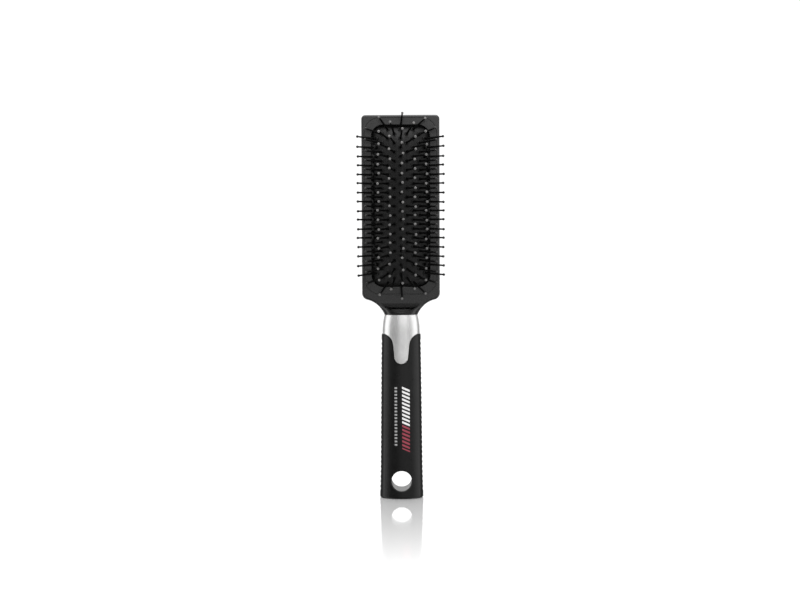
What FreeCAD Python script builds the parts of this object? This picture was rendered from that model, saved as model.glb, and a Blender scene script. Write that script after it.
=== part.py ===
import FreeCAD, Part
import math
import os

# A rectangular cushioned styling brush, standing upright on the end of its handle.
# +Z runs along the brush, the pins point towards -Y, and the origin is the centre of the handle's end.

# Head (mm)
LENGTH = 240.0
HEAD_HALF_WIDTH = 24.18
HEAD_FRONT_Y = -7.5
HEAD_BACK_Y = 7.5
BACK_CROWN_RADIUS = 62.0
TOP_CORNER_RADIUS = 2.6
SHOULDER_Z = 129.7
SHOULDER_RADIUS = 4.2
CHEEK_RADIUS = 14.5
NECK_HALF_WIDTH = 10.45
NECK_LOW_Z = 116.0
FRONT_EDGE_RADIUS = 1.2
BACK_EDGE_RADIUS = 2.4

# The neck's envelope: height, half width, half depth, squareness of each section
NECK_SECTIONS = [
    (NECK_LOW_Z, 10.47, 7.25, 2.5),
    (118.2, 11.90, 7.65, 2.7),
    (120.6, 15.20, 7.95, 3.2),
    (123.6, 21.00, 8.40, 4.0),
    (127.6, 30.00, 9.20, 5.0),
]
CHIN_DISC_RADIUS = 17.2
CHIN_LOW_Z = 117.95
CHIN_ROLL_TOP_Z = 123.8
CHIN_ROLL_FOOT_Z = 119.4
CHIN_ROLL_DEPTH = 3.9
CHIN_DEPTH = 5.5
SPIGOT_HALF_WIDTH = 8.4
SPIGOT_HALF_DEPTH = 5.2
SPIGOT_LOW_Z = 93.5

# Cushion opening and the frame around it
CUSHION_Z = 183.7
OPENING_HALF_WIDTH = 18.0
OPENING_HALF_HEIGHT = 50.0
OPENING_CORNER = 7.2
FRAME_HALF_WIDTH = 22.5
FRAME_HALF_HEIGHT = 54.65
FRAME_CORNER = 9.5
FRAME_THICKNESS = 2.15
FRAME_LIP_RADIUS = 0.45
FRAME_GROOVE = 0.22
CHAMBER_HALF_WIDTH = 18.6
CHAMBER_HALF_HEIGHT = 50.6
CHAMBER_FLOOR_Y = 3.0

# Rubber cushion
DOME_MARGIN = 0.8
DOME_RISE = 10.0
DOME_END_LENGTH = 7.0
RUBBER_THICKNESS = 1.0
FLANGE_FRONT_Y = -5.3
FLANGE_INSET = 1.2
VENT_ROW = -5
VENT_RADIUS = 0.9

# Pins
ROW_PITCH = 5.54
A_ROWS = 18
B_ROWS = 17
COLUMN_X = (0.0, 3.8, 7.8, 11.5, 14.8)
COLUMN_SPLAY = (0.0, 15.0, 27.0, 41.0, 48.0)
COLUMN_LEAN = (4.5, 4.5, 4.5, 1.0, 0.0)
END_SPLAY = 35.0
END_SPLAY_FADE = 8.0
PIN_SCATTER = 1.8
PIN_LENGTH = 16.0
PIN_ROOT_RADIUS = 0.7
PIN_TIP_RADIUS = 0.48
PIN_HEAD_RADIUS = 1.2
PIN_HEAD_TOP = -1.9
PIN_HEAD_THICKNESS = 0.8
PIN_HOLE_CLEARANCE = 0.15
TIP_RADIUS = 0.8

# Handle: height, half width, half depth of each section of the grip
GRIP_SECTIONS = [
    (0.0, 13.74, 8.35),
    (18.9, 13.30, 8.15),
    (61.3, 12.86, 8.00),
    (85.4, 12.60, 7.86),
    (104.0, 12.28, 7.70),
]
SIDE_RADIUS_SHARE = 0.74
GRIP_WALL = 1.6
GRIP_END_RADIUS = 1.3
GRIP_TOP_RADIUS = 0.8
CORE_LOW_Z = 2.4
CORE_SETBACK = 0.2
CORE_LINER = 1.3
RIB_PITCH = 3.12
RIB_COUNT = 31
RIB_FIRST_Z = 5.6
RIB_DEPTH = 0.3
RIB_CUTTER_RADIUS = 3.4
HOLE_Z = 11.5
HOLE_RADIUS = 6.35
HOLE_EDGE_RADIUS = 0.5

# Ferrule: height, half width, half depth of each section, and its tongue
FERRULE_SECTIONS = [
    (83.4, 12.22, 7.72),
    (97.4, 11.95, 7.66),
    (105.5, 11.72, 7.60),
    (108.9, 11.58, 7.55),
    (112.0, 11.24, 7.45),
    (114.1, 10.88, 7.34),
    (115.95, 10.45, 7.22),
]
FERRULE_CORE_HALF_WIDTH = 9.3
FERRULE_CORE_HALF_DEPTH = 6.1
TONGUE_SHOULDER = (11.6, 104.2)
TONGUE_ROOT = (5.05, 97.65)
TONGUE_END = (4.2, 89.05)
TONGUE_LOW_Z = 85.45
TONGUE_GAP = 0.4

FIT_GAP = 0.05
FAR = 40.0

vec = FreeCAD.Vector
os.makedirs("parts", exist_ok=True)


def save(name, shape):
    if not shape.isValid():
        raise ValueError(name + " is not a valid shape")
    shape.exportStep("parts/" + name + ".step")
    print(name, len(shape.Solids), round(shape.Volume, 1))


def line(a, b):
    return Part.LineSegment(vec(a[0], 0, a[1]), vec(b[0], 0, b[1])).toShape()


def arc(a, mid, b):
    return Part.Arc(vec(a[0], 0, a[1]), vec(mid[0], 0, mid[1]), vec(b[0], 0, b[1])).toShape()


def prism(edges, y_low, y_high):
    """A closed outline in the XZ plane, extruded from y_low to y_high."""
    face = Part.Face(Part.Wire(edges))
    face.translate(vec(0, y_low, 0))
    return face.extrude(vec(0, y_high - y_low, 0))


def rounded_block(half_x, half_z, corner, y_low, y_high):
    """A block with round corners, centred on the cushion."""
    block = Part.makeBox(
        2 * half_x, y_high - y_low, 2 * half_z, vec(-half_x, y_low, CUSHION_Z - half_z)
    )
    upright = [e for e in block.Edges if abs(e.tangentAt(e.FirstParameter).y) > 0.99]
    return block.makeFillet(corner, upright)


def squared_wire(z, half_x, half_y, squareness, points=40):
    """A superellipse at height z."""
    ring = []
    for i in range(points):
        angle = 2 * math.pi * i / points
        c = math.cos(angle)
        s = math.sin(angle)
        x = math.copysign(abs(c) ** (2 / squareness), c) * half_x
        y = math.copysign(abs(s) ** (2 / squareness), s) * half_y
        ring.append(vec(x, y, z))
    curve = Part.BSplineCurve()
    curve.interpolate(Points=ring, PeriodicFlag=True)
    return Part.Wire(curve.toShape())


def oval_wire(z, half_x, half_y, inset=0):
    """An oval of four tangent arcs at height z, drawn in by inset."""
    side = SIDE_RADIUS_SHARE * half_y
    side_x = half_x - side
    flat = (side_x**2 + half_y**2 - side**2) / (2 * (half_y - side))
    flat_y = half_y - flat
    angle = math.atan2(-flat_y, side_x)
    side -= inset
    flat -= inset
    corner_x = side_x + side * math.cos(angle)
    corner_y = side * math.sin(angle)
    right = vec(side_x + side, 0, z)
    back = vec(0, flat_y + flat, z)
    left = vec(-side_x - side, 0, z)
    front = vec(0, -flat_y - flat, z)
    corners = [
        vec(corner_x, -corner_y, z),
        vec(corner_x, corner_y, z),
        vec(-corner_x, corner_y, z),
        vec(-corner_x, -corner_y, z),
    ]
    edges = []
    for i, middle in enumerate((right, back, left, front)):
        edges.append(Part.Arc(corners[i], middle, corners[(i + 1) % 4]).toShape())
    return Part.Wire(edges)


def oval_loft(sections, inset=0, straight=True):
    """A solid through oval sections of (height, half width, half depth)."""
    wires = [oval_wire(*section, inset) for section in sections]
    return Part.makeLoft(wires, True, straight)


def oval_bar(low, high, half_x, half_y, inset=0):
    """A straight bar of one oval section, from height low to height high."""
    face = Part.Face(oval_wire(low, half_x, half_y, inset))
    return face.extrude(vec(0, 0, high - low))


def sections_between(sections, low, high):
    """The sections from height low to height high, with new ones at those two heights."""
    kept = [interpolated(sections, low)]
    kept += [section for section in sections if low + 0.1 < section[0] < high - 0.1]
    return kept + [interpolated(sections, high)]


def interpolated(sections, z):
    for below, above in zip(sections, sections[1:]):
        if below[0] <= z <= above[0]:
            t = (z - below[0]) / (above[0] - below[0])
            return tuple(a + t * (b - a) for a, b in zip(below, above))
    raise ValueError("height outside the sections")


def edges_at_height(shape, z):
    found = []
    for edge in shape.Edges:
        box = edge.BoundBox
        if abs(box.ZMin - z) < 0.01 and abs(box.ZMax - z) < 0.01:
            found.append(edge)
    return found


# ---------------------------------------------------------------- cushion shape


def crown_share(x):
    """The cushion's bulge across its width: 1 on the centre line, 0 at its sides."""
    return 1 - (x / (OPENING_HALF_WIDTH - DOME_MARGIN)) ** 2


def dome_rise(x, z):
    """How far the cushion's face stands out from its flange."""
    from_end = OPENING_HALF_HEIGHT - DOME_MARGIN - abs(z - CUSHION_Z)
    return DOME_RISE * crown_share(x) * (1 - math.exp(-from_end / DOME_END_LENGTH))


def rubber_cushion(pin_places):
    half_x = OPENING_HALF_WIDTH - DOME_MARGIN
    half_z = OPENING_HALF_HEIGHT - DOME_MARGIN
    grid = []
    for i in range(13):
        x = (half_x + 0.4) * (i / 6 - 1)
        column = []
        for j in range(57):
            z = CUSHION_Z + (half_z + 0.3) * (j / 28 - 1)
            column.append(vec(x, FLANGE_FRONT_Y - dome_rise(x, z), z))
        grid.append(column)
    surface = Part.BSplineSurface()
    surface.interpolate(grid)
    dome = surface.toShape().extrude(vec(0, RUBBER_THICKNESS, 0))
    dome = dome.common(rounded_block(half_x, half_z, OPENING_CORNER - DOME_MARGIN, -FAR, FAR))
    flange_back = FLANGE_FRONT_Y + RUBBER_THICKNESS
    flange = rounded_block(
        FRAME_HALF_WIDTH - FLANGE_INSET,
        FRAME_HALF_HEIGHT - FLANGE_INSET,
        FRAME_CORNER - FLANGE_INSET,
        FLANGE_FRONT_Y,
        flange_back,
    )
    overlap = 0.6
    flange = flange.cut(
        rounded_block(
            half_x - overlap,
            half_z - overlap,
            OPENING_CORNER - DOME_MARGIN - overlap,
            -FAR,
            FAR,
        )
    )
    cushion = dome.fuse(flange)
    reach = 3.0
    cutters = []
    for root, direction in pin_places:
        start = root - direction * reach
        cutters.append(
            Part.makeCylinder(PIN_ROOT_RADIUS + PIN_HOLE_CLEARANCE, 2 * reach, start, direction)
        )
    vent_z = CUSHION_Z + VENT_ROW * ROW_PITCH
    cutters.append(Part.makeCylinder(VENT_RADIUS, FAR, vec(0, -FAR, vent_z), vec(0, 1, 0)))
    return cushion.cut(Part.makeCompound(cutters))


# ---------------------------------------------------------------- pins


def scatter(seed):
    """A fixed, uneven angle for one pin, in degrees."""
    value = math.sin(seed * 12.9898) * 43758.5453
    return PIN_SCATTER * (2 * (value - math.floor(value)) - 1)


def pin_place(column, row_z):
    """The root point on the cushion's face and the unit direction of one pin."""
    side = math.copysign(1, column)
    rank = abs(column)
    x = side * COLUMN_X[rank]
    seed = column * 31 + row_z
    angle_x = side * COLUMN_SPLAY[rank] + COLUMN_LEAN[rank] + scatter(seed)
    from_end = OPENING_HALF_HEIGHT - abs(row_z)
    fan = END_SPLAY * crown_share(x) * math.exp(-(from_end - 3.4) / END_SPLAY_FADE)
    angle_z = math.copysign(fan, row_z) + scatter(seed + 7.7)
    direction = vec(math.tan(math.radians(angle_x)), -1, math.tan(math.radians(angle_z)))
    direction.normalize()
    z = CUSHION_Z + row_z
    return vec(x, FLANGE_FRONT_Y - dome_rise(x, z), z), direction


def rows_of(column):
    """Heights of a column's pins above the cushion's centre. Neighbouring columns are staggered."""
    count = B_ROWS if abs(column) % 2 else A_ROWS
    heights = [(i - (count - 1) / 2) * ROW_PITCH for i in range(count)]
    if abs(column) == 4:
        heights = heights[1:-1]
    return heights


def pin_groups():
    """Pins by the group that moves together: nine columns, and the outermost rows at each end."""
    groups = {"centre": [], "top_end": [], "bottom_end": []}
    end_limit = (B_ROWS - 1) / 2 * ROW_PITCH - 0.1
    for column in range(-4, 5):
        side = "left" if column < 0 else "right"
        name = f"{side}_{abs(column)}" if column else "centre"
        for row_z in rows_of(column):
            place = pin_place(column, row_z)
            if abs(row_z) > end_limit:
                groups["top_end" if row_z > 0 else "bottom_end"].append(place)
            else:
                groups.setdefault(name, []).append(place)
    return groups


def seat_height():
    """Height on the pin where its stem meets the ball tip."""
    centre = PIN_LENGTH - TIP_RADIUS
    return centre - math.sqrt(TIP_RADIUS**2 - PIN_TIP_RADIUS**2)


def pin_shape():
    """One pin along +Z, with z = 0 at the cushion's face and its head behind the rubber."""
    low = PIN_HEAD_TOP - PIN_HEAD_THICKNESS
    outline = [
        vec(0, 0, low),
        vec(PIN_HEAD_RADIUS, 0, low),
        vec(PIN_HEAD_RADIUS, 0, PIN_HEAD_TOP),
        vec(PIN_ROOT_RADIUS, 0, PIN_HEAD_TOP),
        vec(PIN_ROOT_RADIUS, 0, 0.6),
        vec(PIN_TIP_RADIUS, 0, seat_height()),
        vec(0, 0, seat_height()),
        vec(0, 0, low),
    ]
    return Part.Face(Part.makePolygon(outline)).revolve(vec(0, 0, 0), vec(0, 0, 1), 360)


def tip_shape():
    """One ball tip, with a flat where the stem meets it."""
    cut_angle = -math.degrees(math.acos(PIN_TIP_RADIUS / TIP_RADIUS))
    centre = vec(0, 0, PIN_LENGTH - TIP_RADIUS)
    return Part.makeSphere(TIP_RADIUS, centre, vec(0, 0, 1), cut_angle, 90, 360)


def placed(shape, root, direction):
    copy = shape.copy()
    copy.Placement = FreeCAD.Placement(root, FreeCAD.Rotation(vec(0, 0, 1), direction))
    return copy


# ---------------------------------------------------------------- head


def mirrored(point):
    return -point[0], point[1]


def right_shoulder():
    """From the neck up to the side: a hollow cheek that runs smoothly into a round shoulder."""
    neck = vec(NECK_HALF_WIDTH, 0, NECK_LOW_Z)
    side = vec(HEAD_HALF_WIDTH, 0, SHOULDER_Z)
    round_centre = side - vec(SHOULDER_RADIUS, 0, 0)
    chord = round_centre - neck
    reach = CHEEK_RADIUS + SHOULDER_RADIUS
    along = (CHEEK_RADIUS**2 - reach**2 + chord.Length**2) / (2 * chord.Length)
    across = math.sqrt(CHEEK_RADIUS**2 - along**2)
    unit = vec(chord).normalize()
    hollow_centre = neck + unit * along + vec(unit.z, 0, -unit.x) * across
    meet = hollow_centre + (round_centre - hollow_centre) * (CHEEK_RADIUS / reach)

    def bowed(centre, radius, a, b):
        middle = centre + ((a + b) * 0.5 - centre).normalize() * radius
        return arc((a.x, a.z), (middle.x, middle.z), (b.x, b.z))

    hollow = bowed(hollow_centre, CHEEK_RADIUS, neck, meet)
    return [hollow, bowed(round_centre, SHOULDER_RADIUS, meet, side)]


def head_slab():
    """The head and shoulders, down to the foot of the neck, with every long edge rounded."""
    w = HEAD_HALF_WIDTH
    r = TOP_CORNER_RADIUS
    corner = LENGTH - r
    bend = r * (1 - math.sqrt(0.5))
    right = right_shoulder()
    right.append(line((w, SHOULDER_Z), (w, corner)))
    right.append(arc((w, corner), (w - bend, LENGTH - bend), (w - r, LENGTH)))
    left = [edge.mirror(vec(0, 0, 0), vec(1, 0, 0)) for edge in reversed(right)]
    top = line((w - r, LENGTH), (r - w, LENGTH))
    foot = line((-NECK_HALF_WIDTH, NECK_LOW_Z), (NECK_HALF_WIDTH, NECK_LOW_Z))
    slab = prism(right + [top] + left + [foot], HEAD_FRONT_Y, FAR).common(back_crown())
    for radius, low_y, high_y in (
        (BACK_EDGE_RADIUS, HEAD_FRONT_Y + 1, FAR),
        (FRONT_EDGE_RADIUS, -FAR, HEAD_FRONT_Y + 0.01),
    ):
        edges = []
        for edge in slab.Edges:
            box = edge.BoundBox
            if box.YMin > low_y and box.YMax < high_y and box.ZMax > NECK_LOW_Z + 0.01:
                edges.append(edge)
        slab = slab.makeFillet(radius, edges)
    return slab


def back_crown():
    """Everything in front of the head's crowned back."""
    axis_y = HEAD_BACK_Y - BACK_CROWN_RADIUS
    return Part.makeCylinder(BACK_CROWN_RADIUS, LENGTH + 2 * FAR, vec(0, axis_y, -FAR), vec(0, 0, 1))


def chin_groove():
    """The crescent under the chin: rolled above, undercut behind, with a sharp lower edge."""
    y0 = HEAD_FRONT_Y
    roll_y = y0 + CHIN_ROLL_DEPTH
    roll_height = CHIN_ROLL_TOP_Z - CHIN_ROLL_FOOT_Z
    half = math.sqrt(0.5)
    middle = vec(0, roll_y - CHIN_ROLL_DEPTH * half, CHIN_ROLL_TOP_Z - roll_height * half)
    low = CHIN_LOW_Z - 2
    ahead = y0 - 5
    start = vec(0, y0, CHIN_ROLL_TOP_Z)
    points = [
        vec(0, roll_y, CHIN_ROLL_FOOT_Z),
        vec(0, y0 + CHIN_DEPTH, CHIN_ROLL_FOOT_Z),
        vec(0, y0 + CHIN_DEPTH, low),
        vec(0, ahead, low),
        vec(0, ahead, CHIN_ROLL_TOP_Z),
    ]
    edges = [Part.Arc(start, middle, points[0]).toShape()]
    for a, b in zip(points, points[1:] + [start]):
        edges.append(Part.LineSegment(a, b).toShape())
    face = Part.Face(Part.Wire(edges))
    face.translate(vec(-FAR, 0, 0))
    band = face.extrude(vec(2 * FAR, 0, 0))
    centre = vec(0, ahead, CHIN_LOW_Z + CHIN_DISC_RADIUS)
    return band.common(Part.makeCylinder(CHIN_DISC_RADIUS, 2 * FAR, centre, vec(0, 1, 0)))


def head_shell():
    top = NECK_SECTIONS[-1][0]
    envelope = Part.makeLoft([squared_wire(*section) for section in NECK_SECTIONS], True, False)
    above = Part.makeBox(4 * FAR, 4 * FAR, LENGTH, vec(-2 * FAR, -2 * FAR, top))
    body = head_slab().common(envelope.fuse(above))
    spigot = oval_bar(SPIGOT_LOW_Z, NECK_LOW_Z + 1, SPIGOT_HALF_WIDTH, SPIGOT_HALF_DEPTH)
    head = body.fuse(spigot).cut(chin_groove())
    flange_back = FLANGE_FRONT_Y + RUBBER_THICKNESS
    recess = rounded_block(
        FRAME_HALF_WIDTH + FIT_GAP,
        FRAME_HALF_HEIGHT + FIT_GAP,
        FRAME_CORNER + FIT_GAP,
        -FAR,
        flange_back,
    )
    chamber = rounded_block(
        CHAMBER_HALF_WIDTH,
        CHAMBER_HALF_HEIGHT,
        OPENING_CORNER,
        -FAR,
        CHAMBER_FLOOR_Y,
    )
    return head.cut([recess, chamber])


def cushion_frame():
    y_back = HEAD_FRONT_Y + FRAME_THICKNESS
    plate = rounded_block(
        FRAME_HALF_WIDTH, FRAME_HALF_HEIGHT, FRAME_CORNER, HEAD_FRONT_Y, y_back
    )
    outer_edges = [e for e in plate.Edges if e.BoundBox.YMax < HEAD_FRONT_Y + 0.01]
    plate = plate.makeChamfer(FRAME_GROOVE, outer_edges)
    opening = rounded_block(
        OPENING_HALF_WIDTH, OPENING_HALF_HEIGHT, OPENING_CORNER, -FAR, FAR
    )
    frame = plate.cut(opening)
    lip = []
    for edge in frame.Edges:
        box = edge.BoundBox
        at_front = box.YMax < HEAD_FRONT_Y + 0.01
        if at_front and abs(edge.CenterOfMass.x) < OPENING_HALF_WIDTH + 0.1:
            if abs(edge.CenterOfMass.z - CUSHION_Z) < OPENING_HALF_HEIGHT + 0.1:
                lip.append(edge)
    return frame.makeFillet(FRAME_LIP_RADIUS, lip)


# ---------------------------------------------------------------- handle


def grip_outside():
    body = oval_loft(GRIP_SECTIONS)
    body = body.makeFillet(GRIP_END_RADIUS, edges_at_height(body, 0))
    return body.makeFillet(GRIP_TOP_RADIUS, edges_at_height(body, GRIP_SECTIONS[-1][0]))


def core_outside(gap):
    """The rigid core: wide inside the grip, slimmer inside the ferrule."""
    grip_top = GRIP_SECTIONS[-1][0]
    lower = sections_between(GRIP_SECTIONS, CORE_LOW_Z - gap, grip_top - CORE_SETBACK + gap)
    top = NECK_LOW_Z - FIT_GAP + gap
    upper = oval_bar(grip_top - 5, top, FERRULE_CORE_HALF_WIDTH, FERRULE_CORE_HALF_DEPTH, -gap)
    return oval_loft(lower, GRIP_WALL - gap).fuse(upper)


def cross_bore(radius):
    return Part.makeCylinder(radius, 2 * FAR, vec(0, -FAR, HOLE_Z), vec(0, 1, 0))


def handle_core():
    socket = oval_bar(
        SPIGOT_LOW_Z - 1, LENGTH / 2, SPIGOT_HALF_WIDTH, SPIGOT_HALF_DEPTH, -FIT_GAP
    )
    return core_outside(0).cut([socket, cross_bore(HOLE_RADIUS + CORE_LINER)])


def tongue_edges(gap):
    """The ferrule's outline seen from the front, grown by gap: a full-width collar with a tongue."""
    side = vec(TONGUE_ROOT[0] - TONGUE_END[0], 0, TONGUE_ROOT[1] - TONGUE_END[1]).normalize()
    outward = vec(side.z, 0, -side.x)
    reach = vec(TONGUE_SHOULDER[0] - TONGUE_ROOT[0], 0, TONGUE_SHOULDER[1] - TONGUE_ROOT[1])
    radius = reach.dot(reach) / (2 * reach.dot(outward))
    centre_x = TONGUE_ROOT[0] + radius * outward.x
    centre_z = TONGUE_ROOT[1] + radius * outward.z

    def on_shoulder(x):
        return x, centre_z + math.sqrt((radius - gap) ** 2 - (centre_x - x) ** 2)

    wide = HEAD_HALF_WIDTH
    top = NECK_LOW_Z - FIT_GAP
    inner = on_shoulder(TONGUE_SHOULDER[0])
    shoulder = (wide, inner[1])
    root = (TONGUE_ROOT[0] + gap * outward.x, TONGUE_ROOT[1] + gap * outward.z)
    bend = on_shoulder((root[0] + 2 * inner[0]) / 3 - 1.5)
    end = (TONGUE_END[0] + gap, TONGUE_END[1])
    low = (0, TONGUE_LOW_Z - gap)
    return [
        line((-wide, top), (wide, top)),
        line((wide, top), shoulder),
        line(shoulder, inner),
        arc(inner, bend, root),
        line(root, end),
        arc(end, low, mirrored(end)),
        line(mirrored(end), mirrored(root)),
        arc(mirrored(root), mirrored(bend), mirrored(inner)),
        line(mirrored(inner), mirrored(shoulder)),
        line(mirrored(shoulder), (-wide, top)),
    ]


def ferrule():
    outside = oval_loft(FERRULE_SECTIONS, straight=False)
    sleeve = outside.common(prism(tongue_edges(0), -FAR, FAR))
    return sleeve.cut(core_outside(FIT_GAP))


def rib_cutters():
    cutters = []
    for i in range(RIB_COUNT):
        z = RIB_FIRST_Z + i * RIB_PITCH
        half_width = interpolated(GRIP_SECTIONS, z)[1]
        for side in (-1, 1):
            x = side * (half_width + RIB_CUTTER_RADIUS - RIB_DEPTH)
            cutters.append(Part.makeCylinder(RIB_CUTTER_RADIUS, 2 * FAR, vec(x, -FAR, z), vec(0, 1, 0)))
    return cutters


def grip_sleeve():
    solid_grip = grip_outside().cut(cross_bore(HOLE_RADIUS))
    rims = []
    for edge in solid_grip.Edges:
        box = edge.BoundBox
        if box.ZMin > 1.5 and abs(box.ZLength - 2 * HOLE_RADIUS) < 0.2:
            rims.append(edge)
    solid_grip = solid_grip.makeFillet(HOLE_EDGE_RADIUS, rims)
    cavity = core_outside(FIT_GAP).cut(cross_bore(HOLE_RADIUS + CORE_LINER - FIT_GAP))
    window = prism(tongue_edges(TONGUE_GAP), -FAR, FAR)
    return solid_grip.cut([cavity, window] + rib_cutters())


# ---------------------------------------------------------------- write the parts

groups = pin_groups()
all_pins = [place for group in groups.values() for place in group]
save("rubber_cushion", rubber_cushion(all_pins))
save("cushion_frame", cushion_frame())
save("head_shell", head_shell())
save("handle_core", handle_core())
save("ferrule", ferrule())
save("grip_sleeve", grip_sleeve())
pin = pin_shape()
tip = tip_shape()
for name, places in groups.items():
    save("pins_" + name, Part.makeCompound([placed(pin, *place) for place in places]))
    save("tips_" + name, Part.makeCompound([placed(tip, *place) for place in places]))
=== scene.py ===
import math

import bmesh
import bpy
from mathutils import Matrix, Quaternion, Vector, noise


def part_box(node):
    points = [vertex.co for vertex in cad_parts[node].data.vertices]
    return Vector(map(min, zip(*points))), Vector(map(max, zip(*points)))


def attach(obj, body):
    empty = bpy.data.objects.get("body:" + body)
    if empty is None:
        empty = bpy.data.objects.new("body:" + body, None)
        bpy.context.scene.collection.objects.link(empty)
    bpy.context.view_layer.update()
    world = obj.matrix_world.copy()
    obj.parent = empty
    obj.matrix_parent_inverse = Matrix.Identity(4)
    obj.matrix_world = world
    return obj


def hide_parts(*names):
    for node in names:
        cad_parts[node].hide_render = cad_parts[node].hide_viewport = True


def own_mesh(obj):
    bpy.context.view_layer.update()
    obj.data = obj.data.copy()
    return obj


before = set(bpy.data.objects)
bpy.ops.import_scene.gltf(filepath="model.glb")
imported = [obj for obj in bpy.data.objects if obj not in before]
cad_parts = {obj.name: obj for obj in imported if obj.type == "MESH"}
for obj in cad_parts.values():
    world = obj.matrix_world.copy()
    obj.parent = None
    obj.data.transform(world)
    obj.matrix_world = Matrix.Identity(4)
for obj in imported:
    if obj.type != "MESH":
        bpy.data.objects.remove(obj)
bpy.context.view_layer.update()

MM = 0.001

# A cushioned styling brush standing on the end of its handle: +Z up, pins towards -Y.
# Lengths are in metres, except in the materials and the print, which are laid out in millimetres.

# Cushion face
CUSHION_HALF_WIDTH = 17.2 * MM
CUSHION_HALF_HEIGHT = 49.2 * MM
CUSHION_CORNER = 6.4 * MM
DOME_RISE = 10.0 * MM
DOME_END_LENGTH = 7.0 * MM
FLANGE_WIDTH = 4.0 * MM
RUBBER_THICKNESS = 0.8 * MM
KNURL_STEP = 0.375 * MM
KNURL_HEIGHT = 0.085 * MM
KNURL_UNEVENNESS = 0.4
KNURL_PATCH = 3 * MM
PIN_HOLE_RADIUS = 0.85 * MM
PIN_CELL = 3 * MM
ROOT_SEARCH_STEPS = 12
WELD_DISTANCE = 1e-7
NO_LENGTH = 1e-9
BOSS_SIDES = 20
BOSS_PROFILE = [  # distance from the pin's axis, height above the rubber
    (1.62 * MM, -0.40 * MM),
    (1.40 * MM, 0.02 * MM),
    (1.28 * MM, 0.36 * MM),
    (1.10 * MM, 0.54 * MM),
    (0.90 * MM, 0.50 * MM),
    (0.77 * MM, 0.32 * MM),
    (0.74 * MM, -0.90 * MM),
]
VENT_RADIUS = 0.9 * MM
VENT_BELOW_CENTRE = 27.7 * MM

# Camera and studio
CAMERA_PLACE = Vector((-0.00064, -0.890, 0.1829))
CAMERA_AIM = Vector((-0.00064, 0.0, 0.12493))
CAMERA_LENS = 63.95
CAMERA_ROLL = math.radians(-0.23)
SENSOR_WIDTH = 36.0
FLOOR_HALF_SIZE = 6.0
FLOOR_LEVEL = 0.86
MIRROR_FADE = (15.0, 235.0)  # mm from the brush, where the floor's mirror starts and stops fading
LIGHT_PLACE = Vector((0, -0.15, 1.4))
LIGHT_AIM = Vector((0, 0, 0.1))
LIGHT_SIZE = 1.2
LIGHT_POWER = 9
BACKDROP_LEVEL = 1.1
CEILING_LEVEL = 1.5
# The next two are upward shares of a direction, where one part of the room blends into the next
CEILING = (0.45, 0.85)
SKYLINE = (-0.12, 0.03)
ROOM = [  # degrees round from the camera, to the right; brightness above and below the skyline
    (-180, 1.25, 0.50),
    (-150, 1.25, 0.50),
    (-135, 0.30, 0.14),
    (-100, 0.30, 0.14),
    (-86, 1.30, 1.20),
    (-60, 1.30, 1.20),
    (-52, 0.28, 0.08),
    (-20, 0.30, 0.08),
    (-4, 1.00, 0.16),
    (24, 1.15, 0.24),
    (36, 0.60, 0.24),
    (50, 0.60, 0.30),
    (58, 1.25, 1.10),
    (86, 1.25, 1.10),
    (100, 0.28, 0.14),
    (135, 0.28, 0.14),
    (150, 1.25, 0.50),
    (180, 1.25, 0.50),
]

# Ball tips (mm): heights from the palest rows to the dullest, and distances out to the dark ones; both
# set painted shade in the tips' colour
TIP_SHADE_HEIGHTS = (210.0, 140.0)
TIP_SHADE_SIDES = (15.5, 19.0)

# Print on the grip (mm): slanted bars, white above and red below, and short dashes beside them
PRINT_PITCH = 2.4
PRINT_SLANT = 0.45
PRINT_LOW = 13.4 * PRINT_PITCH
PRINT_RED_TOP = 20.1 * PRINT_PITCH
PRINT_TOP = 30.1 * PRINT_PITCH
PRINT_BACK_Y = -2.0
PRINT_LEFT = 0.4
PRINT_RIGHT = 5.2
DASH_LEFT = -4.3
DASH_RIGHT = -2.7
DASH_PITCH = 2.1
DASH_LOW = 15.9 * DASH_PITCH
DASH_TOP = 33.9 * DASH_PITCH


# ---------------------------------------------------------------- materials


class Graph:
    """A node tree, with short calls for the nodes that the materials and the world share."""

    def __init__(self, owner):
        owner.use_nodes = True
        self.tree = owner.node_tree
        self.tree.nodes.clear()

    def add(self, kind, **settings):
        node = self.tree.nodes.new(kind)
        for key, value in settings.items():
            setattr(node, key, value)
        return node

    def link(self, source, target):
        """Connects an output, or writes a plain value into the socket."""
        if isinstance(source, bpy.types.NodeSocket):
            self.tree.links.new(source, target)
        else:
            target.default_value = source

    def math(self, operation, *values):
        node = self.add("ShaderNodeMath", operation=operation)
        for value, socket in zip(values, node.inputs):
            self.link(value, socket)
        return node.outputs[0]

    def remap(self, value, low, high, new_low=0.0, new_high=1.0, smooth=False):
        node = self.add("ShaderNodeMapRange")
        if smooth:
            node.interpolation_type = "SMOOTHSTEP"
        for source, name in (
            (value, "Value"),
            (low, "From Min"),
            (high, "From Max"),
            (new_low, "To Min"),
            (new_high, "To Max"),
        ):
            self.link(source, node.inputs[name])
        return node.outputs["Result"]

    def mix(self, share, a, b):
        """Between two colours or colour sockets."""
        node = self.add("ShaderNodeMix", data_type="RGBA")
        self.link(share, node.inputs["Factor"])
        for value, name in ((a, "A"), (b, "B")):
            socket = [s for s in node.inputs if s.name == name and s.type == "RGBA"][0]
            self.link(value, socket)
        return [s for s in node.outputs if s.type == "RGBA"][0]


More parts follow.
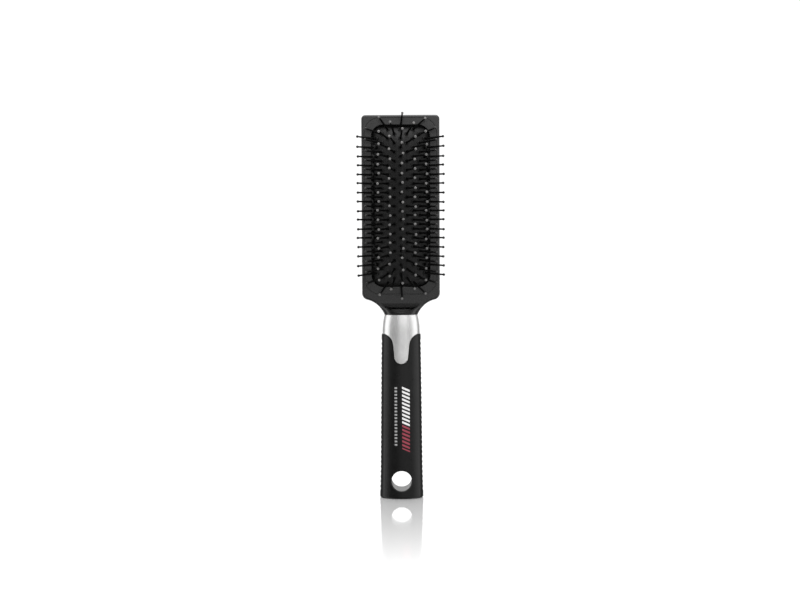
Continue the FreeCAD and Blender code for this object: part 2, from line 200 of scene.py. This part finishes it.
class Surface(Graph):
    """A material, with patterns in millimetres over the brush's own frame."""

    def __init__(self, name):
        self.material = bpy.data.materials.new(name)
        super().__init__(self.material)
        self.shader = self.add("ShaderNodeBsdfPrincipled")
        output = self.add("ShaderNodeOutputMaterial")
        self.link(self.shader.outputs["BSDF"], output.inputs["Surface"])
        coordinates = self.add("ShaderNodeTexCoord")
        to_mm = self.add("ShaderNodeVectorMath", operation="SCALE")
        to_mm.inputs["Scale"].default_value = 1 / MM
        self.link(coordinates.outputs["Object"], to_mm.inputs[0])
        self.place = to_mm.outputs[0]
        split = self.add("ShaderNodeSeparateXYZ")
        self.link(self.place, split.inputs[0])
        self.x, self.y, self.z = split.outputs

    def stretched(self, x, y, z):
        """The place, with each axis multiplied, for patterns that are longer one way."""
        node = self.add("ShaderNodeVectorMath", operation="MULTIPLY")
        self.link(self.place, node.inputs[0])
        node.inputs[1].default_value = (x, y, z)
        return node.outputs[0]

    def noise(self, per_mm, detail=2.0, roughness=0.5, place=None):
        node = self.add("ShaderNodeTexNoise")
        self.link(place or self.place, node.inputs["Vector"])
        node.inputs["Scale"].default_value = per_mm
        node.inputs["Detail"].default_value = detail
        node.inputs["Roughness"].default_value = roughness
        return node.outputs["Fac"]

    def cells(self, per_mm, randomness=1.0):
        node = self.add("ShaderNodeTexVoronoi")
        self.link(self.place, node.inputs["Vector"])
        node.inputs["Scale"].default_value = per_mm
        node.inputs["Randomness"].default_value = randomness
        return node.outputs["Distance"]

    def bump(self, height, height_mm, strength=1.0):
        """Chained bumps: each call adds a relief on top of the last."""
        node = self.add("ShaderNodeBump")
        node.inputs["Strength"].default_value = strength
        node.inputs["Distance"].default_value = height_mm * MM
        self.link(height, node.inputs["Height"])
        normal = self.shader.inputs["Normal"]
        if normal.links:
            self.link(normal.links[0].from_socket, node.inputs["Normal"])
        self.link(node.outputs["Normal"], normal)

    def band(self, value, low, high, softness):
        """1 between low and high, with soft edges."""
        rise = self.remap(value, low - softness, low + softness, smooth=True)
        fall = self.remap(value, high - softness, high + softness, 1.0, 0.0, smooth=True)
        return self.math("MULTIPLY", rise, fall)


def grey(level, warmth=0.0):
    return (level * (1 + warmth), level, level * (1 - warmth), 1.0)


def moulded_plastic(name, level, roughness, specular, grain_per_mm, grain_mm):
    """Satin black plastic: moulded grain, slow shade changes, rubbed patches and a little dust."""
    g = Surface(name)
    clouds = g.noise(0.09, 3.0)
    patches = g.noise(0.35, 4.0, 0.6)
    grain = g.noise(grain_per_mm, 3.0, 0.6)
    pores = g.cells(grain_per_mm * 0.8)
    base = g.mix(g.remap(clouds, 0.3, 0.7), grey(level * 0.86), grey(level * 1.14, 0.01))
    base = g.mix(g.remap(grain, 0.35, 0.75, 0.0, 0.35), base, grey(level * 1.45))
    dust = g.remap(g.noise(1.6, 1.0), 0.735, 0.80, 0.0, 0.35)
    g.link(g.mix(dust, base, grey(level * 2.6 + 0.01, 0.03)), g.shader.inputs["Base Color"])
    rubbed = g.remap(patches, 0.35, 0.7, roughness - 0.05, roughness + 0.05)
    fine = g.remap(grain, 0.3, 0.7, -0.03, 0.03)
    g.link(g.math("ADD", rubbed, fine), g.shader.inputs["Roughness"])
    g.shader.inputs["Specular IOR Level"].default_value = specular
    g.bump(g.remap(pores, 0.0, 0.6), grain_mm, 0.5)
    g.bump(grain, grain_mm, 0.4)
    g.bump(clouds, 0.05, 0.25)
    return g.material


def cushion_rubber():
    """Black rubber with painted shade in the valleys between the raised dots, so the dots stand
    lighter.
    """
    g = Surface("cushion_rubber")
    clouds = g.noise(0.12, 3.0)
    grain = g.noise(5.0, 3.0, 0.6)
    pitch = 2 * KNURL_STEP / MM
    waves = [g.math("COSINE", g.math("MULTIPLY", a, 2 * math.pi / pitch)) for a in (g.x, g.z)]
    dots = g.math("MULTIPLY", g.remap(waves[0], -1, 1), g.remap(waves[1], -1, 1))
    base = g.mix(g.remap(clouds, 0.3, 0.7), grey(0.008), grey(0.012))
    # painted shade: the valleys between the knurl dots darker than their tops
    painted_valley_shade = g.remap(dots, 0.25, 0.95, 0.0, 0.75)
    g.link(g.mix(painted_valley_shade, base, grey(0.028, 0.01)), g.shader.inputs["Base Color"])
    g.link(g.remap(grain, 0.3, 0.7, 0.48, 0.62), g.shader.inputs["Roughness"])
    g.shader.inputs["Specular IOR Level"].default_value = 0.28
    g.bump(grain, 0.02, 0.5)
    return g.material


def boss_rubber():
    """The smoother rubber that stands up round each pin, coloured darker as painted shade at the pins'
    roots.
    """
    g = Surface("boss_rubber")
    # painted shade: the bosses darker than the cushion round them
    shade = g.mix(g.noise(0.8, 3.0), grey(0.0025), grey(0.006))
    g.link(shade, g.shader.inputs["Base Color"])
    g.link(g.remap(g.noise(6.0), 0.3, 0.7, 0.4, 0.55), g.shader.inputs["Roughness"])
    g.shader.inputs["Specular IOR Level"].default_value = 0.12
    g.bump(g.noise(7.0), 0.015, 0.5)
    return g.material


def pin_nylon():
    """Near-black drawn nylon with faint streaks along the pins' length."""
    g = Surface("pin_nylon")
    streaks = g.noise(2.0, 3.0, 0.6, g.stretched(4.0, 0.25, 4.0))
    g.link(g.mix(streaks, grey(0.002), grey(0.005)), g.shader.inputs["Base Color"])
    g.link(g.remap(streaks, 0.3, 0.7, 0.34, 0.5), g.shader.inputs["Roughness"])
    g.shader.inputs["Specular IOR Level"].default_value = 0.12
    g.bump(streaks, 0.012, 0.5)
    return g.material


def tip_bead():
    """Glossy balls of dripped resin: grey in the middle of the brush, that grey partly a painted
    highlight, with painted shade making them darker at the sides and in the lower rows.
    """
    g = Surface("tip_bead")
    shade = g.noise(0.21, 2.0, 0.6)
    swirl = g.noise(2.6, 3.0)
    # the grey of the balls is partly a painted highlight
    base = g.mix(g.remap(shade, 0.35, 0.65), grey(0.110, 0.01), grey(0.165, 0.02))
    base = g.mix(g.remap(swirl, 0.45, 0.8, 0.0, 0.5), base, grey(0.22, 0.02))
    # painted shade: the lower rows of balls darker
    painted_shade_low = g.remap(g.z, *TIP_SHADE_HEIGHTS, 0.0, 0.35, smooth=True)
    base = g.mix(painted_shade_low, base, grey(0.05))
    # painted shade: the balls darker towards the sides
    outer = g.remap(g.math("ABSOLUTE", g.x), *TIP_SHADE_SIDES, 0.0, 0.95, smooth=True)
    g.link(g.mix(outer, base, grey(0.006)), g.shader.inputs["Base Color"])
    g.link(g.remap(swirl, 0.3, 0.7, 0.24, 0.38), g.shader.inputs["Roughness"])
    g.shader.inputs["Specular IOR Level"].default_value = 0.45
    g.bump(swirl, 0.02, 0.35)
    return g.material


def ferrule_silver():
    """Satin silver: vacuum metal over plastic, with a very fine brushing and slow shade changes."""
    g = Surface("ferrule_silver")
    clouds = g.noise(0.14, 3.0)
    brushing = g.noise(3.0, 4.0, 0.65, g.stretched(1.6, 1.6, 0.12))
    grain = g.noise(9.0, 2.0)
    base = g.mix(g.remap(clouds, 0.3, 0.7), grey(0.86, 0.006), grey(0.91, 0.002))
    streaked = g.mix(g.remap(brushing, 0.35, 0.75, 0.0, 0.25), base, grey(0.76))
    g.link(streaked, g.shader.inputs["Base Color"])
    g.shader.inputs["Metallic"].default_value = 0.76
    soft = g.remap(brushing, 0.3, 0.7, 0.22, 0.28)
    fine = g.remap(grain, 0.3, 0.7, -0.015, 0.015)
    g.link(g.math("ADD", soft, fine), g.shader.inputs["Roughness"])
    g.bump(brushing, 0.005, 0.25)
    g.bump(grain, 0.004, 0.25)
    return g.material


def grip_rubber():
    """Soft-touch black rubber with a pad print of slanted bars, white then red, beside grey dashes."""
    g = Surface("grip_rubber")
    clouds = g.noise(0.07, 3.0)
    handled = g.noise(0.3, 4.0, 0.6)
    grain = g.noise(6.5, 3.0, 0.65)
    pores = g.cells(5.0)
    base = g.mix(g.remap(clouds, 0.3, 0.7), grey(0.0016), grey(0.0030))
    base = g.mix(g.remap(grain, 0.4, 0.8, 0.0, 0.4), base, grey(0.006))
    dust = g.remap(g.noise(1.3, 1.0), 0.735, 0.80, 0.0, 0.2)
    base = g.mix(dust, base, grey(0.04, 0.03))

    in_front = g.math("LESS_THAN", g.y, PRINT_BACK_Y)
    wear = g.remap(g.noise(3.2, 3.0, 0.7), 0.30, 0.45, 0.55, 1.0)
    ink_amount = g.math("MULTIPLY", wear, in_front)
    slanted = g.math("ADD", g.z, g.math("MULTIPLY", g.x, PRINT_SLANT))
    phase = g.math("FRACT", g.math("DIVIDE", slanted, PRINT_PITCH))
    bars = g.band(phase, 0.20, 0.74, 0.05)
    bars = g.math("MULTIPLY", bars, g.band(g.x, PRINT_LEFT, PRINT_RIGHT, 0.12))
    bars = g.math("MULTIPLY", bars, g.band(slanted, PRINT_LOW, PRINT_TOP, 0.05))
    bars = g.math("MULTIPLY", bars, ink_amount)
    dash_phase = g.math("FRACT", g.math("DIVIDE", g.z, DASH_PITCH))
    dashes = g.band(dash_phase, 0.2, 0.72, 0.06)
    dashes = g.math("MULTIPLY", dashes, g.band(g.x, DASH_LEFT, DASH_RIGHT, 0.12))
    dashes = g.math("MULTIPLY", dashes, g.band(g.z, DASH_LOW, DASH_TOP, 0.05))
    dashes = g.math("MULTIPLY", dashes, ink_amount)
    is_red = g.remap(slanted, PRINT_RED_TOP - 0.1, PRINT_RED_TOP + 0.1, 1.0, 0.0)
    ink = g.mix(is_red, grey(0.82, 0.005), (0.32, 0.045, 0.07, 1))
    base = g.mix(dashes, base, grey(0.36))
    g.link(g.mix(bars, base, ink), g.shader.inputs["Base Color"])

    matte = g.remap(handled, 0.3, 0.7, 0.27, 0.36)
    g.link(matte, g.shader.inputs["Roughness"])
    g.shader.inputs["Specular IOR Level"].default_value = 0.5
    g.shader.inputs["Sheen Weight"].default_value = 0.01
    g.shader.inputs["Sheen Roughness"].default_value = 0.4
    g.bump(g.remap(pores, 0.0, 0.6), 0.016, 0.4)
    g.bump(grain, 0.02, 0.4)
    g.bump(g.math("ADD", bars, dashes), 0.02, 0.8)
    return g.material


def give(node_or_piece, *materials):
    """Replaces an object's materials, leaving its mesh alone."""
    slots = node_or_piece.data.materials
    slots.clear()
    for material in materials:
        slots.append(material)


def dress_cad_nodes():
    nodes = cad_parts
    give(nodes["head_shell"], moulded_plastic("head_plastic", 0.0095, 0.27, 0.76, 2.6, 0.010))
    give(nodes["cushion_frame"], moulded_plastic("frame_plastic", 0.009, 0.26, 0.74, 3.2, 0.009))
    # the core's darker colour level is painted shade for the inside of the hanging hole
    give(nodes["handle_core"], moulded_plastic("core_plastic", 0.003, 0.45, 0.12, 2.2, 0.03))
    give(nodes["ferrule"], ferrule_silver())
    give(nodes["grip_sleeve"], grip_rubber())
    nylon = pin_nylon()
    bead = tip_bead()
    for name, node in nodes.items():
        if name.startswith("pins_"):
            give(node, nylon)
        elif name.startswith("tips_"):
            give(node, bead)


# ---------------------------------------------------------------- cushion


def islands(node):
    """The middle of each separate solid in a CAD node."""
    mesh = bmesh.new()
    mesh.from_mesh(node.data)
    bmesh.ops.remove_doubles(mesh, verts=mesh.verts, dist=WELD_DISTANCE)
    seen = set()
    middles = []
    for first in mesh.verts:
        if first in seen:
            continue
        seen.add(first)
        group = [first]
        for vertex in group:
            for edge in vertex.link_edges:
                other = edge.other_vert(vertex)
                if other not in seen:
                    seen.add(other)
                    group.append(other)
        middles.append(sum((v.co for v in group), Vector()) / len(group))
    mesh.free()
    return middles


class Cushion:
    """The domed rubber face, as a height field over a rounded rectangle."""

    def __init__(self):
        low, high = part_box("rubber_cushion")
        self.centre_z = (low.z + high.z) / 2
        self.flange_y = low.y + DOME_RISE

    def rise(self, x, z):
        across = 1 - (x / CUSHION_HALF_WIDTH) ** 2
        from_end = CUSHION_HALF_HEIGHT - abs(z - self.centre_z)
        return DOME_RISE * max(across, 0) * (1 - math.exp(-max(from_end, 0) / DOME_END_LENGTH))

    def face_y(self, x, z):
        return self.flange_y - self.rise(x, z)

    def outline_offset(self, x, z):
        """Distance outside the cushion's outline, and the outward direction there."""
        dz = z - self.centre_z
        core_x = CUSHION_HALF_WIDTH - CUSHION_CORNER
        core_z = CUSHION_HALF_HEIGHT - CUSHION_CORNER
        near = Vector((max(-core_x, min(core_x, x)), 0, max(-core_z, min(core_z, dz))))
        away = Vector((x, 0, dz)) - near
        if away.length < NO_LENGTH:
            return -CUSHION_CORNER, Vector((0, 0, 0))
        return away.length - CUSHION_CORNER, away.normalized()

    def pin_axes(self):
        """Each pin's root on the face and its direction, read from the CAD pins and tips."""
        axes = []
        for name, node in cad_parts.items():
            if not name.startswith("pins_"):
                continue
            tips = islands(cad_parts[name.replace("pins_", "tips_")])
            for middle in islands(node):
                tip = min(tips, key=lambda t: (t - middle).length)
                direction = (tip - middle).normalized()
                root = middle
                for _ in range(ROOT_SEARCH_STEPS):
                    step = (self.face_y(root.x, root.z) - root.y) / direction.y
                    root = root + direction * step
                axes.append((root, direction))
        return axes


def distance_to_axis(point, axis):
    root, direction = axis
    return (point - root).cross(direction).length


def cushion_piece():
    """The rubber cushion: knurled dome, flange under the frame, and a boss round each pin."""
    cushion = Cushion()
    axes = cushion.pin_axes()
    vent_z = cushion.centre_z - VENT_BELOW_CENTRE
    vent = (Vector((0, cushion.face_y(0, vent_z), vent_z)), Vector((0, -1, 0)))
    mesh = bmesh.new()
    columns = 2 * round(CUSHION_HALF_WIDTH / KNURL_STEP)
    rows = 2 * round(CUSHION_HALF_HEIGHT / KNURL_STEP)
    grid = []
    for i in range(columns + 1):
        x = CUSHION_HALF_WIDTH * (2 * i / columns - 1)
        line = []
        for j in range(rows + 1):
            z = cushion.centre_z + CUSHION_HALF_HEIGHT * (2 * j / rows - 1)
            beyond, outward = cushion.outline_offset(x, z)
            point = Vector((x, 0, z)) - outward * max(beyond, 0)
            point.y = cushion.face_y(point.x, point.z)
            line.append((mesh.verts.new(point), beyond > NO_LENGTH))
            if i % 2 == 0 and j % 2 == 0 and beyond < -2 * KNURL_STEP:
                wear = KNURL_UNEVENNESS * noise.noise(point / KNURL_PATCH)
                line[-1][0].co.y -= KNURL_HEIGHT * (1 - KNURL_UNEVENNESS / 2 + wear)
        grid.append(line)

    for i in range(columns):
        for j in range(rows):
            corners = [grid[i][j], grid[i + 1][j], grid[i + 1][j + 1], grid[i][j + 1]]
            if not all(outside for _, outside in corners):
                mesh.faces.new([vertex for vertex, _ in corners])
    bmesh.ops.remove_doubles(mesh, verts=mesh.verts, dist=KNURL_STEP / 50)
    bmesh.ops.dissolve_degenerate(mesh, edges=mesh.edges, dist=KNURL_STEP / 100)
    loose = [v for v in mesh.verts if not v.link_faces]
    bmesh.ops.delete(mesh, geom=loose, context="VERTS")

    add_flange(mesh, cushion)
    cut_holes(mesh, axes, vent)
    bmesh.ops.recalc_face_normals(mesh, faces=mesh.faces)
    face_out(mesh)
    bmesh.ops.solidify(mesh, geom=list(mesh.faces), thickness=RUBBER_THICKNESS)
    for root, direction in axes:
        add_boss(mesh, root, direction)
    piece = finished_object("cushion", mesh)
    give(piece, cushion_rubber(), boss_rubber())
    return piece, cushion


def add_flange(mesh, cushion):
    """A short wall down to the flange, and the flange out under the frame."""
    rim = [e for e in mesh.edges if e.is_boundary]
    for spread in (0.0, FLANGE_WIDTH):
        made = bmesh.ops.extrude_edge_only(mesh, edges=rim)["geom"]
        rim = [g for g in made if isinstance(g, bmesh.types.BMEdge) and g.is_boundary]
        for vertex in {v for e in rim for v in e.verts}:
            _, outward = cushion.outline_offset(vertex.co.x, vertex.co.z)
            vertex.co += outward * spread
            vertex.co.y = cushion.flange_y


def cut_holes(mesh, axes, vent):
    """Opens the rubber round every pin and at the vent."""
    near = {}
    for axis in axes:
        key = (round(axis[0].x / PIN_CELL), round(axis[0].z / PIN_CELL))
        near.setdefault(key, []).append(axis)
    doomed = []
    for face in mesh.faces:
        middle = face.calc_center_median()
        if distance_to_axis(middle, vent) < VENT_RADIUS:
            doomed.append(face)
            continue
        column = round(middle.x / PIN_CELL)
        row = round(middle.z / PIN_CELL)
        for i in (-1, 0, 1):
            for j in (-1, 0, 1):
                for axis in near.get((column + i, row + j), []):
                    if distance_to_axis(middle, axis) < PIN_HOLE_RADIUS:
                        doomed.append(face)
    bmesh.ops.delete(mesh, geom=list(set(doomed)), context="FACES")


def face_out(mesh):
    """Turns every face towards -Y, the way the brush faces."""
    total = sum(face.normal.y * face.calc_area() for face in mesh.faces)
    if total > 0:
        bmesh.ops.reverse_faces(mesh, faces=mesh.faces)


def add_boss(mesh, root, direction):
    """The raised ring of rubber that grips one pin."""
    side = direction.orthogonal().normalized()
    other = direction.cross(side)
    rings = []
    for radius, height in BOSS_PROFILE:
        ring = []
        for k in range(BOSS_SIDES):
            angle = 2 * math.pi * k / BOSS_SIDES
            around = side * math.cos(angle) + other * math.sin(angle)
            ring.append(mesh.verts.new(root + direction * height + around * radius))
        rings.append(ring)
    for inner, outer in zip(rings, rings[1:] + rings[:1]):
        for k in range(BOSS_SIDES):
            after = (k + 1) % BOSS_SIDES
            face = mesh.faces.new([inner[k], inner[after], outer[after], outer[k]])
            face.material_index = 1


def finished_object(name, mesh):
    bmesh.ops.recalc_face_normals(mesh, faces=mesh.faces)
    data = bpy.data.meshes.new(name)
    mesh.to_mesh(data)
    mesh.free()
    for polygon in data.polygons:
        polygon.use_smooth = True
    piece = bpy.data.objects.new(name, data)
    bpy.context.scene.collection.objects.link(piece)
    return piece


# ---------------------------------------------------------------- studio


def camera():
    data = bpy.data.cameras.new("camera")
    data.lens = CAMERA_LENS
    data.sensor_width = SENSOR_WIDTH
    item = bpy.data.objects.new("camera", data)
    item.location = CAMERA_PLACE
    look = (CAMERA_AIM - CAMERA_PLACE).to_track_quat("-Z", "Y")
    item.rotation_euler = (look @ Quaternion((0, 0, 1), CAMERA_ROLL)).to_euler()
    bpy.context.scene.collection.objects.link(item)
    bpy.context.scene.camera = item


def room_ramp(g, around, column):
    """The room's brightness by direction, from one column of ROOM."""
    ramp = g.add("ShaderNodeValToRGB")
    elements = ramp.color_ramp.elements
    while len(elements) < len(ROOM):
        elements.new(0.5)
    for element, stop in zip(elements, ROOM):
        element.position = stop[0] / 360 + 0.5
        element.color = grey(stop[column])
    g.link(around, ramp.inputs["Fac"])
    return ramp.outputs["Color"]


def studio_world():
    """A white studio: soft boxes left, right and behind the camera, grey between, darker below."""
    world = bpy.data.worlds.new("studio")
    g = Graph(world)
    direction = g.add("ShaderNodeTexCoord")
    split = g.add("ShaderNodeSeparateXYZ")
    g.link(direction.outputs["Generated"], split.inputs[0])
    x, y, z = split.outputs
    azimuth = g.math("ARCTAN2", x, g.math("MULTIPLY", y, -1.0))
    around = g.remap(azimuth, -math.pi, math.pi)
    above = room_ramp(g, around, 1)
    below = room_ramp(g, around, 2)
    walls = g.mix(g.remap(z, *SKYLINE, smooth=True), below, above)
    room = g.mix(g.remap(z, *CEILING, smooth=True), walls, grey(CEILING_LEVEL))
    lighting = g.add("ShaderNodeBackground")
    g.link(room, lighting.inputs["Color"])
    backdrop = g.add("ShaderNodeBackground")
    g.link(grey(BACKDROP_LEVEL), backdrop.inputs["Color"])
    rays = g.add("ShaderNodeLightPath")
    chosen = g.add("ShaderNodeMixShader")
    g.link(rays.outputs["Is Camera Ray"], chosen.inputs[0])
    g.link(lighting.outputs[0], chosen.inputs[1])
    g.link(backdrop.outputs[0], chosen.inputs[2])
    output = g.add("ShaderNodeOutputWorld")
    g.link(chosen.outputs[0], output.inputs["Surface"])
    bpy.context.scene.world = world


def overhead_light():
    data = bpy.data.lights.new("overhead", "AREA")
    data.shape = "SQUARE"
    data.size = LIGHT_SIZE
    data.energy = LIGHT_POWER
    item = bpy.data.objects.new("overhead", data)
    item.location = LIGHT_PLACE
    item.rotation_euler = (LIGHT_AIM - LIGHT_PLACE).to_track_quat("-Z", "Y").to_euler()
    bpy.context.scene.collection.objects.link(item)


def floor():
    """A large white sheet, glossy round the brush and plain further off."""
    mesh = bmesh.new()
    bmesh.ops.create_grid(mesh, x_segments=1, y_segments=1, size=FLOOR_HALF_SIZE)
    data = bpy.data.meshes.new("floor")
    mesh.to_mesh(data)
    mesh.free()
    item = bpy.data.objects.new("floor", data)
    bpy.context.scene.collection.objects.link(item)
    g = Surface("floor_white")
    g.link(grey(FLOOR_LEVEL), g.shader.inputs["Base Color"])
    reach = g.add("ShaderNodeVectorMath", operation="LENGTH")
    g.link(g.place, reach.inputs[0])
    fade = g.remap(reach.outputs["Value"], *MIRROR_FADE, smooth=True)
    for name, near, far in (
        ("Metallic", 0.33, 0.0),
        ("Roughness", 0.05, 0.16),
        ("Specular IOR Level", 0.5, 0.0),
    ):
        g.link(g.remap(fade, 0.0, 1.0, near, far), g.shader.inputs[name])
    item.visible_glossy = False
    give(item, g.material)


# ---------------------------------------------------------------- the scene

camera()
studio_world()
overhead_light()
floor()
dress_cad_nodes()
cushion_object, cushion_shape = cushion_piece()
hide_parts("rubber_cushion")
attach(cushion_object, "brush")
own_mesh(cushion_object)
bpy.context.scene.view_settings.view_transform = "Standard"
